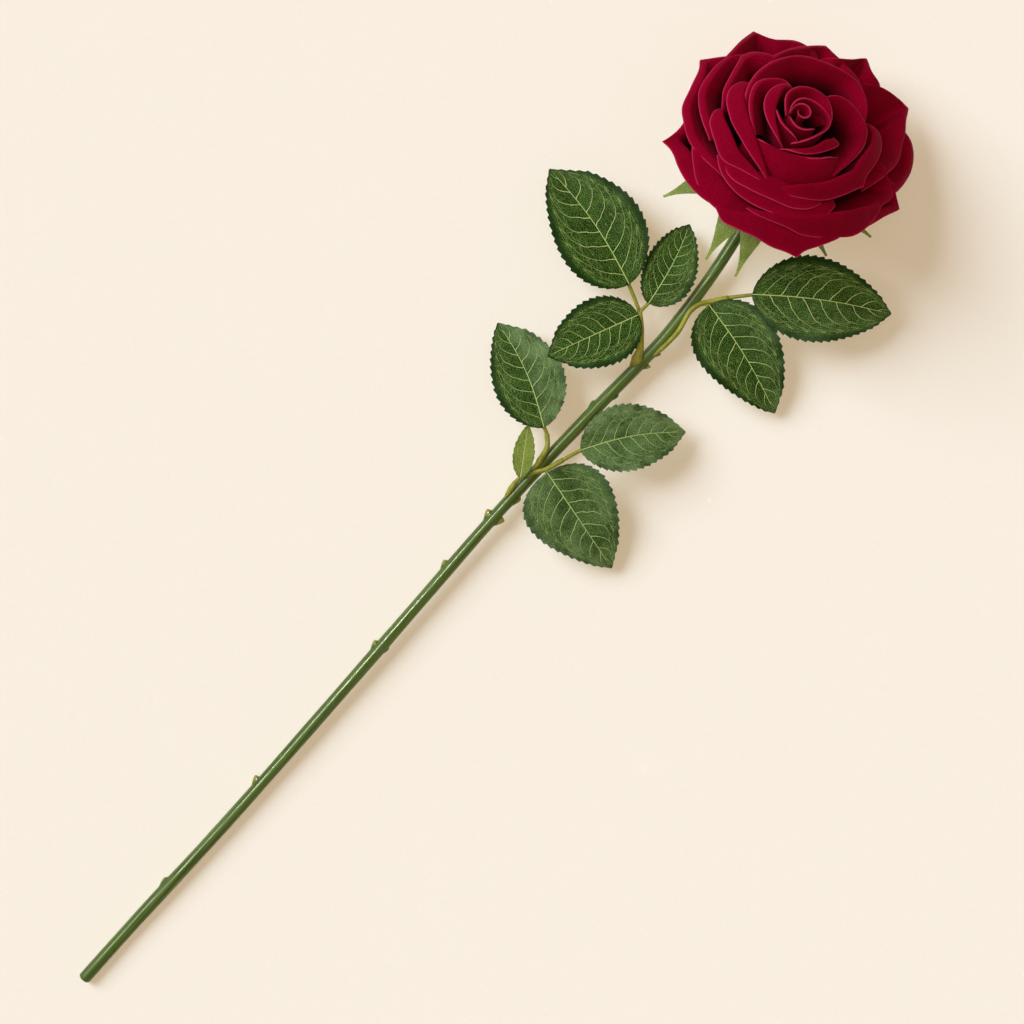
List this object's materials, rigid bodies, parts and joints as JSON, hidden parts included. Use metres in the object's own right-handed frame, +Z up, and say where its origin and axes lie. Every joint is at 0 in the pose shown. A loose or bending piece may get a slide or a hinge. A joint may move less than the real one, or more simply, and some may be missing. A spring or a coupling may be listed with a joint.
{
  "type": "artificial rose stem",
  "caption": "Long-stemmed artificial rose with a full velvet bloom, fabric sepals and toothed fabric leaves on moulded sprays, lying on its side.",
  "frame": {"origin": "on the table, under the middle of the part's outline seen from above", "axes": "+X along the stem from its cut end to the bloom, +Z up from the table, +Y to the left of the stem"},
  "size_m": [0.5074, 0.1497, 0.0734],
  "materials": {
    "petal_velvet": "dark crimson velvet with a short nap and paler cut edges",
    "leaf_fabric": "dark green printed satin with pale veins",
    "young_leaf_fabric": "light green printed satin",
    "sepal_fabric": "light yellow-green printed fabric, matt",
    "stem_plastic": "moulded mid green, satin gloss, olive at the nubs",
    "petiole_plastic": "moulded olive green, satin",
    "calyx_plastic": "moulded mid green, satin",
    "steel_wire": "drawn annealed steel wire"
  },
  "bodies": {
    "root": {"stem": "stem_plastic", "stem_wire": "steel_wire", "leaf_a_large": "leaf_fabric", "leaf_a_right": "leaf_fabric", "leaf_a_left": "leaf_fabric", "leaf_b_large": "leaf_fabric", "leaf_b_low": "leaf_fabric", "leaf_c_right": "leaf_fabric", "leaf_c_low": "leaf_fabric", "leaf_d": "leaf_fabric", "leaf_young": "young_leaf_fabric", "spray_a": "petiole_plastic", "spray_b": "petiole_plastic", "spray_c": "petiole_plastic", "spray_d": "petiole_plastic", "stalk_young": "petiole_plastic", "calyx_cup": "calyx_plastic", "sepal_star_lower": "sepal_fabric", "sepal_star_upper": "sepal_fabric", "bloom": "petal_velvet"}
  },
  "joints": []
}
